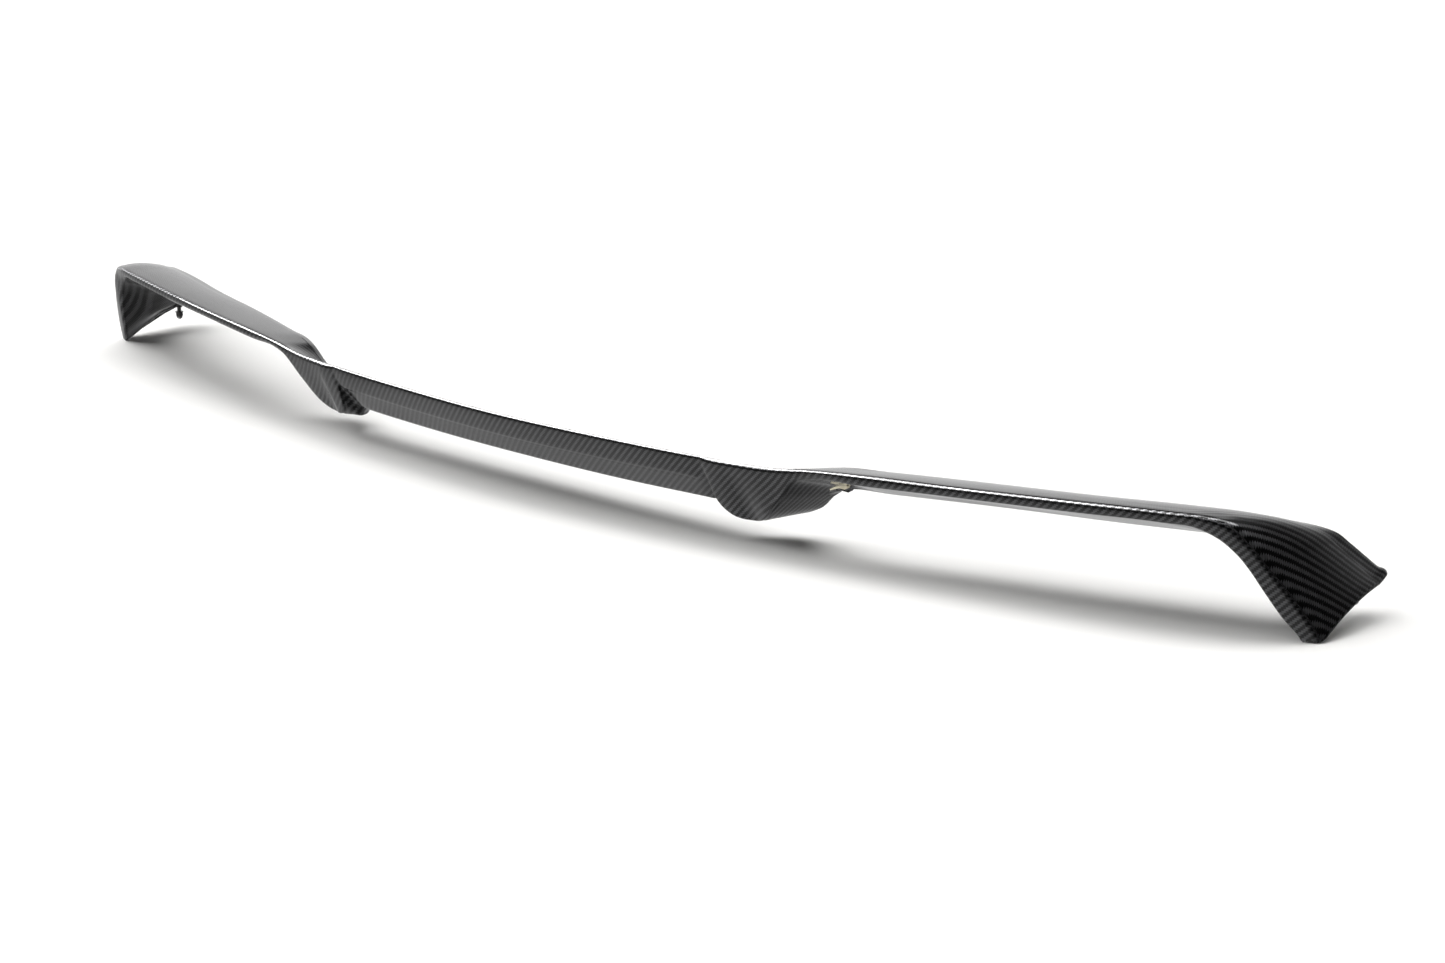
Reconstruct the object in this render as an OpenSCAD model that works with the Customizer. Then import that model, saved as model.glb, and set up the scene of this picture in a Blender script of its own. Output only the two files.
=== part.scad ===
// Rear boot-lid wing for a racing car: a hollow carbon-fibre blade on two end feet and two inner legs.
// Millimetres. X runs across the car (+X right), Y forward, Z up. Z = 0 is the lowest point of the feet.

/* [Blade] */
// Overall width across the two feet
span = 1690; // [1500:10:1900]
// Thickness of the carbon skins
skin_t = 2; // [1.6:0.1:2.4]
// How far the middle of the top surface bows above a straight chord, at the feet
crown = 4.5; // [0:0.5:8]
// Radius-like size of the rounded trailing edge
edge_round = 4; // [2.5:0.5:4.5]
// How far the base of each foot arches up between its two ends
base_arch = 6; // [0:0.5:8]

/* [Feet] */
// Distance from the centre plane to each stud
stud_x = 827; // [824:0.5:829]
// Forward position of each stud
stud_y = 75.5; // [72:0.5:80]
// Height of the foot's base at the stud
stud_base_z = 30; // [29.5:0.5:31]
// How far each stud stands out of the base
stud_out = 11; // [10:0.5:12]
// Thickness of the mounting plate bonded inside each foot
foot_plate_h = 5; // [4:0.5:6]

/* [Legs] */
// Distance from the centre plane to each leg's threaded insert
insert_x = 298; // [294:0.5:302]
// Forward position of each leg's threaded insert
insert_y = -90; // [-92:0.5:-88]
// Height of the legs' flat pads above the lowest point of the feet
leg_pad_z = 24; // [23.5:0.5:25]
// Length of each threaded insert
insert_h = 12; // [10:0.5:13]
// Outer radius of each threaded insert's body
insert_r = 5; // [4.5:0.1:6]
// Radius of each insert's flange
insert_flange_r = 8; // [7:0.5:9]

/* [Fasteners] */
// Radius of the studs (M5) at their bare neck; the thread below is drawn at its core size
stud_r = 2.5; // [2:0.5:3]
// Core radius of the inserts' thread (M6)
thread_core_r = 2.5; // [2.5:0.5:3.5]
// Radial gap between a nut and its stud
thread_gap = 0.05; // [0.02:0.01:0.1]
// Width across the flats of the cap nuts
nut_flats = 8; // [8:0.5:10]
// Height of the hexagon of the cap nuts
nut_hex_h = 4.5; // [4:0.5:5.5]
// Overall height of the cap nuts
nut_h = 8.5; // [8:0.5:10]
// Length of bare stud left between the washer and the base
stud_neck = 6.7; // [4:0.1:7]
// Outer radius of the washers
washer_r = 5; // [5:0.5:6]
// Thickness of the washers
washer_t = 1; // [0.8:0.1:1.2]

/* [Hidden] */

CARBON = [0.05, 0.05, 0.055];
FOAM = [0.85, 0.78, 0.6];
ALU = [0.75, 0.76, 0.78];
STEEL = [0.6, 0.6, 0.62];

// The section of the wing has six corners. Each rail is the line that one corner follows from the
// centre plane out to the foot: [station, X, Y, Z]. Stations count from 0 at the centre to 940 at
// the foot's base, and the same station on every rail gives one section.
rear_top_rail = [
    [0, 0, -172, 90], [150, 150, -165.5, 90.5], [250, 250, -156.5, 91], [300, 300, -150, 91],
    [340, 340, -143, 91.5], [380, 380, -138, 94.5], [430, 430, -131.5, 98.5], [520, 520, -116, 102],
    [640, 640, -92, 107], [720, 720, -72.5, 109.5], [760, 757, -61, 109], [785, 778, -51, 104],
    [810, 793, -43.5, 90], [840, 807, -33, 69], [870, 821, -21, 47], [900, 834, -9.5, 24],
    [925, 841, -2, 7.7], [940, 843, 0.5, 2.2]];
rear_low_rail = [
    [0, 0, -158.5, 61.5], [150, 150, -152, 62], [250, 256, -143.5, 62.5], [264, 266, -140.5, 61],
    [268, 267, -136.5, 50], [272, 269.5, -132, 40.5], [276, 274.5, -128, 33.5], [280, 281.5, -124.5, 28.5],
    [286, 289, -120, 25.5], [294, 295, -114.5, 24.3], [302, 303, -112.5, 24.6], [312, 310.5, -115, 27.2],
    [322, 318.5, -119.5, 33.2], [345, 341, -128, 56],
    [368, 364, -134.5, 80], [380, 378, -133, 84], [430, 430, -128, 87.5], [520, 520, -112.5, 91.5],
    [640, 640, -88.5, 96], [720, 718, -69.5, 98.5], [760, 748, -59, 97], [785, 765, -50.5, 89],
    [810, 778, -44, 78], [840, 788, -37, 64], [870, 798, -29.5, 46], [900, 811, -17.5, 21],
    [925, 821, -9.5, 6.7], [940, 824, -7, 1.2]];
belly_rail = [
    [0, 0, -132, 36], [150, 150, -129, 36.5], [250, 252, -122, 37.5], [264, 263, -116, 35.5],
    [268, 266, -114, 29.5], [272, 268, -112, 25.5], [280, 269, -106, 23.5], [286, 272, -97, 23.5],
    [294, 286, -80, 23.8], [302, 302, -66, 24], [312, 318, -59, 24.8],
    [322, 331, -57, 30], [345, 354, -64, 47], [368, 374, -74, 62], [380, 384, -80, 67],
    [430, 432, -92, 74.5], [520, 522, -74, 79.5], [640, 641, -46, 81.5], [720, 722, -22, 82],
    [760, 758, -10, 79], [785, 774, -4, 72], [810, 784, 0, 63], [840, 792, 6, 54],
    [870, 800, 16, 44], [900, 810, 30, 33], [925, 819, 42, 30.5], [940, 821, 44, 29.5]];
front_low_rail = [
    [0, 0, -92, 33], [150, 150, -91, 34], [250, 250, -88, 36], [300, 300, -84, 40],
    [330, 330, -82, 46], [350, 352, -82, 55], [375, 376, -80, 62], [430, 432, -64, 64],
    [520, 524, -35, 65], [640, 642, -1, 66], [720, 724, 26, 66.5], [760, 760, 37, 66],
    [785, 777, 44, 64], [810, 788, 53, 61], [840, 796, 66, 55], [870, 804, 82, 48],
    [900, 812, 96, 44], [925, 817, 103, 43], [940, 818, 105, 41.5]];
front_top_rail = [
    [0, 0, -90, 41], [150, 150, -89, 42], [250, 250, -86, 44], [320, 320, -84, 47],
    [340, 340, -85, 53], [355, 354, -87, 68], [368, 366, -88, 80], [384, 382, -82, 84],
    [430, 432, -66, 85.5], [520, 525, -36, 87], [640, 643, -1, 88], [720, 727, 29, 88],
    [760, 768, 42, 87.5], [785, 797, 53, 85.5], [810, 812, 66, 80], [840, 820, 80, 68],
    [870, 827, 94, 55], [900, 834, 105, 44], [925, 838, 110, 41], [940, 839, 111.5, 39]];

// The crease on the top surface runs this far behind the leading edge, and the surface behind it
// is this much higher than a straight line to the trailing edge.
crease_back = 0.16;
crease_lift = 1.6;

// Corner roundings, in the rails' order: rear top, rear low, belly, front low, front top, crease.
corner_size = [edge_round, 3, 7, 6, 7, 4];
SHARP = 0.3;
ROUND_STEPS = 4;
CROWN_STEPS = 3;
STATIONS = [0, 50, 100, 150, 200, 240, 256, 264, 268, 272, 276, 280, 286, 294, 302, 312, 322, 334, 346, 358,
    368, 380, 400, 430, 475, 520, 580, 640, 690, 730, 752, 768, 780, 792, 804, 820, 840, 860, 880,
    900, 916, 928, 936];
HALF = len(STATIONS) - 1;
ARCH_FROM = 820;
LEG_IN = 6;
LEG_OUT = 21;
DRAWN_SPAN = 1690;
x_scale = span / DRAWN_SPAN;
// The rails and the fittings are placed from the feet's rear corners. This much is added to every Y,
// so that the origin lies under the middle of the whole wing.
forward_shift = 30.6;

// Fittings: thickness of the sole and the way it is drawn down, plan sizes of the bonded plates, the
// stud's collar, which stands a little proud of the sloping base, and small clearances and steps.
sole_t = 4;
SOLE_DOWN = [0.3, 0.25, -0.92];
leg_plate = [20, 24, 5];
insert_flange_t = 2;
foot_plate = [9, 16];
foot_plate_z = 5.5;
collar_r = stud_r + 1.5;
collar_down = 1.3;
face_gap = 0.1;
neck_gap = 0.2;
thread_step = 0.4;
stud_tip = 0.6;
dome_r = nut_flats * 0.475;
bore_depth = nut_h - 2.6;

function unit(v) = v / norm(v);
function mix(a, b, t) = a + (b - a) * t;
function mirrored(p) = [-p[0], p[1], p[2]];

// Smooth curve through a rail's points. At the centre plane it runs straight across.
function place(rail, i) = [rail[i][1] * x_scale, rail[i][2] + forward_shift, rail[i][3]];
function interval(rail, s, i = 0) =
    i >= len(rail) - 2 || s < rail[i + 1][0] ? i : interval(rail, s, i + 1);
function chord_slope(rail, i) = (place(rail, i + 1) - place(rail, i)) / (rail[i + 1][0] - rail[i][0]);
function slope(rail, i) =
    i == 0 ? [chord_slope(rail, 0)[0], 0, 0] :
    i == len(rail) - 1 ? chord_slope(rail, i - 1) :
    let (before = rail[i][0] - rail[i - 1][0], after = rail[i + 1][0] - rail[i][0])
    (chord_slope(rail, i - 1) * after + chord_slope(rail, i) * before) / (before + after);
function on_rail(rail, s) =
    let (i = interval(rail, s), h = rail[i + 1][0] - rail[i][0], t = (s - rail[i][0]) / h,
         a = place(rail, i), b = place(rail, i + 1), ma = slope(rail, i) * h, mb = slope(rail, i + 1) * h)
    a * (2 * pow(t, 3) - 3 * t * t + 1) + ma * (pow(t, 3) - 2 * t * t + t)
    + b * (3 * t * t - 2 * pow(t, 3)) + mb * (pow(t, 3) - t * t);

// One closed section: the crowned top from the crease back to the rear edge, then the corners.
function crown_at(s) = crown * min(1, max(0, (s - 380) / 380));
function arch_at(s) = base_arch * pow(max(0, (s - ARCH_FROM) / (STATIONS[HALF] - ARCH_FROM)), 2);
function back_at(s) = unit(on_rail(rear_top_rail, s - 1) - on_rail(rear_top_rail, s));
function up_at(s) = unit(cross(on_rail(rear_top_rail, s + 1) - on_rail(rear_top_rail, s - 1),
                               on_rail(front_top_rail, s) - on_rail(rear_top_rail, s)));
function crease_at(s) =
    mix(on_rail(front_top_rail, s), on_rail(rear_top_rail, s), crease_back) + up_at(max(s, 1)) * crease_lift;
function corners(s) = [on_rail(rear_top_rail, s), on_rail(rear_low_rail, s), on_rail(belly_rail, s),
    on_rail(front_low_rail, s), on_rail(front_top_rail, s), crease_at(s)];
// The same corners moved in by a depth, square to the two faces that meet there.
function along(s) = s == 0 ? [for (k = [0:5]) [1, 0, 0]] : corners(s + 1) - corners(s - 1);
function face_normals(c, a) =
    [for (k = [0:5]) let (n = (k + 1) % 6) unit(cross(c[n] - c[k], a[k] + a[n]))];
function moved_in(c, n, depth) =
    [for (k = [0:5]) let (m = n[(k + 5) % 6]) c[k] - (m + n[k]) * depth / max(1 + m * n[k], 0.12)];
// What the offset takes from a corner's rounding: positive on a corner that points out.
function taken(n, a, depth) = [for (k = [0:5]) let (m = n[(k + 5) % 6], turn = acos(min(1, m * n[k])))
    sign(cross(m, n[k]) * a[k]) * depth * tan(min(turn, 150) / 2)];
function rounded(before, corner, after, size) =
    let (a = corner + unit(before - corner) * size, b = corner + unit(after - corner) * size)
    [for (i = [0:ROUND_STEPS - 1]) let (t = i / (ROUND_STEPS - 1))
        a * (1 - t) * (1 - t) + corner * 2 * t * (1 - t) + b * t * t];
function loop(s, c, size) =
    let (top = [for (i = [1:CROWN_STEPS]) let (t = i / (CROWN_STEPS + 1))
             mix(c[5], c[0], t)
                 + (up_at(max(s, 1)) * crown_at(s) + back_at(max(s, 1)) * arch_at(s)) * 4 * t * (1 - t)])
    concat(top, [for (k = [0:5]) for (p = rounded(k == 0 ? top[CROWN_STEPS - 1] : c[k - 1], c[k],
        k == 5 ? top[0] : c[k + 1], max(SHARP, min(size[k], norm(c[(k + 1) % 6] - c[k]) * 0.42,
                       norm(c[k] - c[(k + 5) % 6]) * 0.42)))) p]);
function section(s, depth = 0) =
    let (c = corners(s), a = along(s), n = face_normals(c, a))
    loop(s, moved_in(c, n, depth), corner_size - taken(n, a, depth));

// All sections, from the left foot to the right one: the outside, and the inside of the skins.
function both_halves(half) = concat([for (i = [HALF:-1:1]) [for (p = half[i]) mirrored(p)]], half);
OUTER = both_halves([for (s = STATIONS) section(s)]);
INNER = both_halves([for (s = STATIONS) section(s, skin_t)]);
LAST = len(OUTER) - 1;
POINTS = len(OUTER[0]);

// Where the upper and the lower skins meet: just round the rear low and the front low corners.
REAR_JOINT = CROWN_STEPS + 2 * ROUND_STEPS - 1;
FRONT_JOINT = CROWN_STEPS + 3 * ROUND_STEPS;

// Two triangles for each four-sided patch. The left half is split the other way, as in a mirror.
function quad(a, b, c, d, left = false) = left ? [[a, b, d], [b, c, d]] : [[a, b, c], [a, c, d]];
// A shell between two grids, over rows i0 to i1 and columns j0 to j1 (counted on past the seam).
module shell(outer, inner, i0, i1, j0, j1) {
    rows = i1 - i0 + 1;
    cols = j1 - j0 + 1;
    back = rows * cols;
    points = concat(
        [for (i = [i0:i1]) for (j = [j0:j1]) outer[i][j % POINTS]],
        [for (i = [i0:i1]) for (j = [j0:j1]) inner[i][j % POINTS]]);
    faces = concat(
        [for (i = [0:rows - 2]) for (j = [0:cols - 2]) let (a = i * cols + j)
            each quad(a, a + cols, a + cols + 1, a + 1, i0 + i < HALF)],
        [for (i = [0:rows - 2]) for (j = [0:cols - 2]) let (a = back + i * cols + j)
            each quad(a, a + 1, a + cols + 1, a + cols, i0 + i < HALF)],
        [for (i = [0:rows - 2]) let (a = i * cols)
            each quad(a, back + a, back + a + cols, a + cols, i0 + i < HALF)],
        [for (i = [0:rows - 2]) let (a = i * cols + cols - 1)
            each quad(a, a + cols, back + a + cols, back + a, i0 + i < HALF)],
        [for (j = [0:cols - 2]) each quad(j, j + 1, back + j + 1, back + j)],
        [for (j = [0:cols - 2]) let (a = (rows - 1) * cols + j)
            each quad(a, back + a, back + a + 1, a + 1)]);
    polyhedron(points, faces, convexity = 10);
}
// A solid plug through whole sections i0 to i1 of a grid, closed with flat fans.
module plug(grid, i0, i1) {
    rows = i1 - i0 + 1;
    ends = rows * POINTS;
    points = concat([for (i = [i0:i1]) each grid[i]], [middle(grid[i0]), middle(grid[i1])]);
    faces = concat(
        [for (i = [0:rows - 2]) for (j = [0:POINTS - 1])
            let (a = i * POINTS + j, b = i * POINTS + (j + 1) % POINTS)
            each quad(a, a + POINTS, b + POINTS, b, i0 + i < HALF)],
        [for (j = [0:POINTS - 1]) [j, (j + 1) % POINTS, ends]],
        [for (j = [0:POINTS - 1]) let (a = (rows - 1) * POINTS)
            [a + (j + 1) % POINTS, a + j, ends + 1]]);
    polyhedron(points, faces, convexity = 10);
}
function middle(loop) = [for (k = [0:2]) [for (p = loop) p[k]] * [for (p = loop) 1] / len(loop)];

// A foot's sole: a solid cap on the open end of the skins and the core, drawn in towards its lower face.
module sole() {
    end = OUTER[LAST];
    centre = middle(end);
    rings = [[0, 0], [0.55, 0.3], [0.85, 1.2], [1, 3]];
    drawn = [for (r = rings) [for (p = end)
        p + SOLE_DOWN * sole_t * r[0] + unit(centre - p) * min(r[1], norm(centre - p) / 2)]];
    all = concat([INNER[LAST]], drawn);
    last = len(all) - 1;
    points = concat([for (ring = all) each ring], [middle(INNER[LAST]), middle(all[last])]);
    top = len(all) * POINTS;
    polyhedron(points, concat(
        [for (i = [0:last - 1]) for (j = [0:POINTS - 1])
            let (a = i * POINTS + j, b = i * POINTS + (j + 1) % POINTS)
            each quad(a, a + POINTS, b + POINTS, b, i == 0)],
        [for (j = [0:POINTS - 1]) [j, (j + 1) % POINTS, top]],
        [for (j = [0:POINTS - 1]) let (a = last * POINTS)
            [a + (j + 1) % POINTS, a + j, top + 1]]), convexity = 6);
}

// Local frames: z = 0 on the lower face of a leg's pad, and on the base of a foot at its stud.
module at_leg() translate([insert_x * x_scale, insert_y + forward_shift, leg_pad_z]) children();
module at_stud() translate([stud_x * x_scale, stud_y + forward_shift, stud_base_z]) children();
module right_or_left(side) mirror([side < 0 ? 1 : 0, 0, 0]) children();
module block(plan, z, h) translate([-plan[0] / 2, -plan[1] / 2, z]) cube([plan[0], plan[1], h]);
module rod(r, z, h) translate([0, 0, z]) cylinder(r = r, h = h, $fn = 48);

// The space that the fittings take in each leg and each foot.
module leg_space() {
    block(leg_plate, skin_t, leg_plate[2]);
    rod(insert_r, -skin_t, insert_h + skin_t);
    rod(insert_flange_r, skin_t + leg_plate[2], insert_flange_t);
}
module foot_space() {
    block(foot_plate, foot_plate_z, foot_plate_h);
    rod(collar_r, -sole_t, sole_t + foot_plate_z + foot_plate_h);
}

module upper_skin() color(CARBON) shell(OUTER, INNER, 0, LAST, FRONT_JOINT, POINTS + REAR_JOINT);
module lower_skin_centre() color(CARBON)
    shell(OUTER, INNER, HALF - LEG_IN, HALF + LEG_IN, REAR_JOINT, FRONT_JOINT);
module lower_skin(side) right_or_left(side) color(CARBON)
    shell(OUTER, INNER, HALF + LEG_OUT, LAST, REAR_JOINT, FRONT_JOINT);
module leg_shell(side) right_or_left(side) color(CARBON) difference() {
    shell(OUTER, INNER, HALF + LEG_IN, HALF + LEG_OUT, REAR_JOINT, FRONT_JOINT);
    at_leg() leg_space();
}
module foot_sole(side) right_or_left(side) color(CARBON) difference() {
    sole();
    at_stud() foot_space();
}

module core_centre() color(FOAM) plug(INNER, HALF - LEG_IN, HALF + LEG_IN);
module core_leg(side) right_or_left(side) color(FOAM) difference() {
    plug(INNER, HALF + LEG_IN, HALF + LEG_OUT);
    at_leg() leg_space();
}
module core_outer(side) right_or_left(side) color(FOAM) difference() {
    plug(INNER, HALF + LEG_OUT, LAST);
    at_stud() foot_space();
}

module leg_plate_block(side) right_or_left(side) color(ALU) at_leg() difference() {
    block(leg_plate, skin_t, leg_plate[2]);
    rod(insert_r, 0, insert_h);
}
module leg_insert(side) right_or_left(side) color(STEEL) at_leg() difference() {
    union() {
        rod(insert_r, 0, insert_h);
        rod(insert_flange_r, skin_t + leg_plate[2], insert_flange_t);
    }
    rod(thread_core_r, -1, insert_h + 2);
}

module foot_plate_block(side) right_or_left(side) color(ALU) at_stud() difference() {
    block(foot_plate, foot_plate_z, foot_plate_h);
    rod(collar_r, 0, foot_plate_z + 2 * foot_plate_h);
}
// A stud: a thick shank in the foot, whose end is the collar, then the bare neck down to the washer,
// and the threaded end below that, drawn at the thread's core.
module foot_stud(side) right_or_left(side) color(STEEL) at_stud() {
    thread_r = stud_r - thread_step;
    rod(collar_r, -collar_down, collar_down + foot_plate_z + foot_plate_h);
    rod(stud_r, neck_gap - stud_neck, stud_neck - neck_gap);
    rod(thread_r, stud_tip - stud_out, stud_out - stud_tip);
    translate([0, 0, -stud_out])
        cylinder(r1 = thread_r - stud_tip, r2 = thread_r, h = stud_tip, $fn = 48);
}
module washer(side) right_or_left(side) color(STEEL) at_stud() difference() {
    rod(washer_r, -stud_neck - washer_t, washer_t);
    rod(stud_r + thread_gap, -stud_neck - 2 * washer_t, 3 * washer_t);
}
module cap_nut(side) right_or_left(side) color(STEEL) at_stud()
    translate([0, 0, -stud_neck - washer_t - face_gap]) mirror([0, 0, 1]) difference() {
        union() {
            cylinder(r = nut_flats / sqrt(3), h = nut_hex_h, $fn = 6);
            translate([0, 0, nut_hex_h]) intersection() {
                cylinder(r = dome_r, h = nut_h - nut_hex_h, $fn = 48);
                translate([0, 0, nut_h - nut_hex_h - dome_r]) sphere(r = dome_r, $fn = 48);
            }
        }
        rod(stud_r + thread_gap, -1, bore_depth + 1);
    }

upper_skin();
lower_skin_centre();
lower_skin(-1);  // lower_skin_left
lower_skin(1);  // lower_skin_right
leg_shell(-1);  // leg_shell_left
leg_shell(1);  // leg_shell_right
foot_sole(-1);  // foot_sole_left
foot_sole(1);  // foot_sole_right
core_centre();
core_leg(-1);  // core_leg_left
core_leg(1);  // core_leg_right
core_outer(-1);  // core_left
core_outer(1);  // core_right
leg_plate_block(-1);  // leg_plate_left
leg_plate_block(1);  // leg_plate_right
leg_insert(-1);  // leg_insert_left
leg_insert(1);  // leg_insert_right
foot_plate_block(-1);  // foot_plate_left
foot_plate_block(1);  // foot_plate_right
foot_stud(-1);  // foot_stud_left
foot_stud(1);  // foot_stud_right
washer(-1);  // washer_left
washer(1);  // washer_right
cap_nut(-1);  // cap_nut_left
cap_nut(1);  // cap_nut_right
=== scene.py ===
"""Looks of a carbon-fibre boot-lid wing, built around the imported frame.

The skins are lofted again from the same rails as the CAD source, at a much finer step, and covered
with a woven 2x2 twill under a clear coat. The fasteners get their chamfers and threads. Metres, in
the row frame: +X is the car's right, +Y is forward, +Z is up.
"""

import math

import bpy
import numpy as np
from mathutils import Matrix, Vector
from mathutils.kdtree import KDTree


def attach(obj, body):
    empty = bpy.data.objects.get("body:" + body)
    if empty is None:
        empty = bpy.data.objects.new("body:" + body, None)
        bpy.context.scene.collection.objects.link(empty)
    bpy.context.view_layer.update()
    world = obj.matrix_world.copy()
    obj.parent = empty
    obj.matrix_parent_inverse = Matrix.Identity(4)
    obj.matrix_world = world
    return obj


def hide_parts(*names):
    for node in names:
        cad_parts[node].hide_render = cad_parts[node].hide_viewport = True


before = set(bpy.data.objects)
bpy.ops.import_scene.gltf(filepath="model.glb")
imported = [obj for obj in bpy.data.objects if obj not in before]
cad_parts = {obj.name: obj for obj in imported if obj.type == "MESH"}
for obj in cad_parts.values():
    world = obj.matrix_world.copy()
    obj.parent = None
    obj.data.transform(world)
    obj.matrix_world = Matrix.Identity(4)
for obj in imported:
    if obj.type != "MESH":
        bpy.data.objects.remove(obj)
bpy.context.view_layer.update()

MM = 0.001

# ---------------------------------------------------------------- driving dimensions, millimetres
FORWARD_SHIFT = 30.6      # from the rails' own Y to the row frame's Y
SKIN = 2.0
CROWN = 4.5               # how far the top swells up over the outer blade and the feet
BASE_ARCH = 6.0           # how far a foot's base edge hollows in
CREASE_BACK, CREASE_LIFT = 0.16, 1.6
CORNER_SIZE = np.array([7.0, 4.0, 7.0, 6.0, 7.0, 6.0])      # roundings, in the corners' order
EDGE_RUN_ON = 9.0         # how far the trailing edge's rounding runs on over the top
REAR_BULGE = 0.055        # how far the rear face bows out, as a share of its height
LEG_FROM, LEG_TO, BEND_FROM, ARCH_FROM, FOOT_END = 256, 380, 730, 820, 936
SOLE_DEPTH, SOLE_INWARD = 4.0, 3.0
SOLE_DOWN = np.array([0.3, 0.25, -0.92])
STUD_AT = (827.0, 75.5 + FORWARD_SHIFT, 30.0)
INSERT_AT = (298.0, -90.0 + FORWARD_SHIFT, 24.0)
TOW = 1.9                 # width of one tow of the cloth
PINCH_FROM, PINCH_TO = 350, 404             # stations where the skins run close together,
PINCH_KEEP = 0.8                            # and the share of its width that the foam keeps there
THREAD_PITCH, INSERT_PITCH = 0.8, 1.0
INSERT_R = 5.0            # outside radius of the leg inserts' barrels
WARP_PAINTED_SHEEN, WEFT_PAINTED_SHADE = 0.17, 0.012      # how light the two sets of fibres are painted: a painted sheen, the warp lighter and the weft darker for how each set catches the light, on the same dark fibre

# Rails: the line that each corner of the section follows from the centre plane out to the foot's
# base, as [station, X, Y, Z]. They are the CAD source's own rails.
RAILS = {
    "rear_top": [
        [0, 0, -172, 90], [150, 150, -165.5, 90.5], [250, 250, -156.5, 91], [300, 300, -150, 91],
        [340, 340, -143, 91.5], [380, 380, -138, 94.5], [430, 430, -131.5, 98.5],
        [520, 520, -116, 102], [640, 640, -92, 107], [720, 720, -72.5, 109.5], [760, 757, -61, 109],
        [785, 778, -51, 104], [810, 793, -43.5, 90], [840, 807, -33, 69], [870, 821, -21, 47],
        [900, 834, -9.5, 24], [925, 841, -2, 7.7], [940, 843, 0.5, 2.2]],
    "rear_low": [
        [0, 0, -158.5, 61.5], [150, 150, -152, 62], [250, 256, -143.5, 62.5],
        [264, 266, -140.5, 61], [268, 267, -136.5, 50], [272, 269.5, -132, 40.5],
        [276, 274.5, -128, 33.5], [280, 281.5, -124.5, 28.5], [286, 289, -120, 25.5],
        [294, 295, -114.5, 24.3], [302, 303, -112.5, 24.6], [312, 310.5, -115, 27.2],
        [322, 318.5, -119.5, 33.2], [345, 341, -128, 56], [368, 364, -134.5, 80],
        [380, 378, -133, 84], [430, 430, -128, 87.5], [520, 520, -112.5, 91.5],
        [640, 640, -88.5, 96], [720, 718, -69.5, 98.5], [760, 748, -59, 97],
        [785, 765, -50.5, 89], [810, 778, -44, 78], [840, 788, -37, 64], [870, 798, -29.5, 46],
        [900, 811, -17.5, 21], [925, 821, -9.5, 6.7], [940, 824, -7, 1.2]],
    "belly": [
        [0, 0, -132, 36], [150, 150, -129, 36.5], [250, 252, -122, 37.5], [264, 263, -116, 35.5],
        [268, 266, -114, 29.5], [272, 268, -112, 25.5], [280, 269, -106, 23.5],
        [286, 272, -97, 23.5], [294, 286, -80, 23.8], [302, 302, -66, 24], [312, 318, -59, 24.8],
        [322, 331, -57, 30], [345, 354, -64, 47], [368, 374, -74, 62], [380, 384, -80, 67],
        [430, 432, -92, 74.5], [520, 522, -74, 79.5], [640, 641, -46, 81.5], [720, 722, -22, 82],
        [760, 758, -10, 79], [785, 774, -4, 72], [810, 784, 0, 63], [840, 792, 6, 54],
        [870, 800, 16, 44], [900, 810, 30, 33], [925, 819, 42, 30.5], [940, 821, 44, 29.5]],
    "front_low": [
        [0, 0, -92, 33], [150, 150, -91, 34], [250, 250, -88, 36], [300, 300, -84, 40],
        [330, 330, -82, 46], [350, 352, -82, 55], [375, 376, -80, 62], [430, 432, -64, 64],
        [520, 524, -35, 65], [640, 642, -1, 66], [720, 724, 26, 66.5], [760, 760, 37, 66],
        [785, 777, 44, 64], [810, 788, 53, 61], [840, 796, 66, 55], [870, 804, 82, 48],
        [900, 812, 96, 44], [925, 817, 103, 43], [940, 818, 105, 41.5]],
    "front_top": [
        [0, 0, -90, 41], [150, 150, -89, 42], [250, 250, -86, 44], [320, 320, -84, 47],
        [340, 340, -85, 53], [355, 354, -87, 68], [368, 366, -88, 80], [384, 382, -82, 84],
        [430, 432, -66, 85.5], [520, 525, -36, 87], [640, 643, -1, 88], [720, 727, 29, 88],
        [760, 768, 42, 87.5], [785, 797, 53, 85.5], [810, 812, 66, 80], [840, 820, 80, 68],
        [870, 827, 94, 55], [900, 834, 105, 44], [925, 838, 110, 41], [940, 839, 111.5, 39]],
}

# Steps of the fine loft: along the span, over the top, round each corner and across each flat side.
STATIONS = np.concatenate([
    np.arange(0, LEG_FROM, 8), np.arange(LEG_FROM, LEG_TO, 2), np.arange(LEG_TO, 740, 8),
    np.arange(740, FOOT_END, 3), [FOOT_END]]).astype(float)
TOP_STEPS, ROUND_STEPS, SIDE_STEPS = 16, 10, 6
CORNER_STEP = ROUND_STEPS + SIDE_STEPS - 1
SHARP = 0.3

# The studio. A level says how bright a part of the surroundings is in the gloss, and towards is the
# direction it lies in.
CAMERA_AT = (2.1047, -2.0818, 0.8272)
CAMERA_TILT, CAMERA_TURN = 74.152, 42.773   # degrees
CAMERA_LENS, CAMERA_SENSOR = 74.74, 36.0
FLOOR_REACH = 40.0                          # metres
BACKDROP_TOWARDS = (-0.65, 0.74, 0.1)
BACKDROP_FROM, BACKDROP_TO, BACKDROP_LEVEL = 0.0, 1.05, 0.66
LIT_FLOOR_TOWARDS, LIT_FLOOR_LEVEL = (-0.35, -0.65, -0.67), 0.36
STUDIO_GLOOM = 0.02


# ---------------------------------------------------------------- the loft
def unit(v):
    return v / np.linalg.norm(v, axis=-1, keepdims=True)


def fitted(rail):
    """A rail's knots, places and slopes, for a smooth curve that leaves the centre straight across."""
    table = np.array(rail, float)
    knots, places = table[:, 0], table[:, 1:] + [0, FORWARD_SHIFT, 0]
    step = np.diff(knots)[:, None]
    chord = np.diff(places, axis=0) / step
    middle = (chord[:-1] * step[1:] + chord[1:] * step[:-1]) / (step[:-1] + step[1:])
    return knots, places, np.vstack([[chord[0, 0], 0, 0], middle, chord[-1]])


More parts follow.
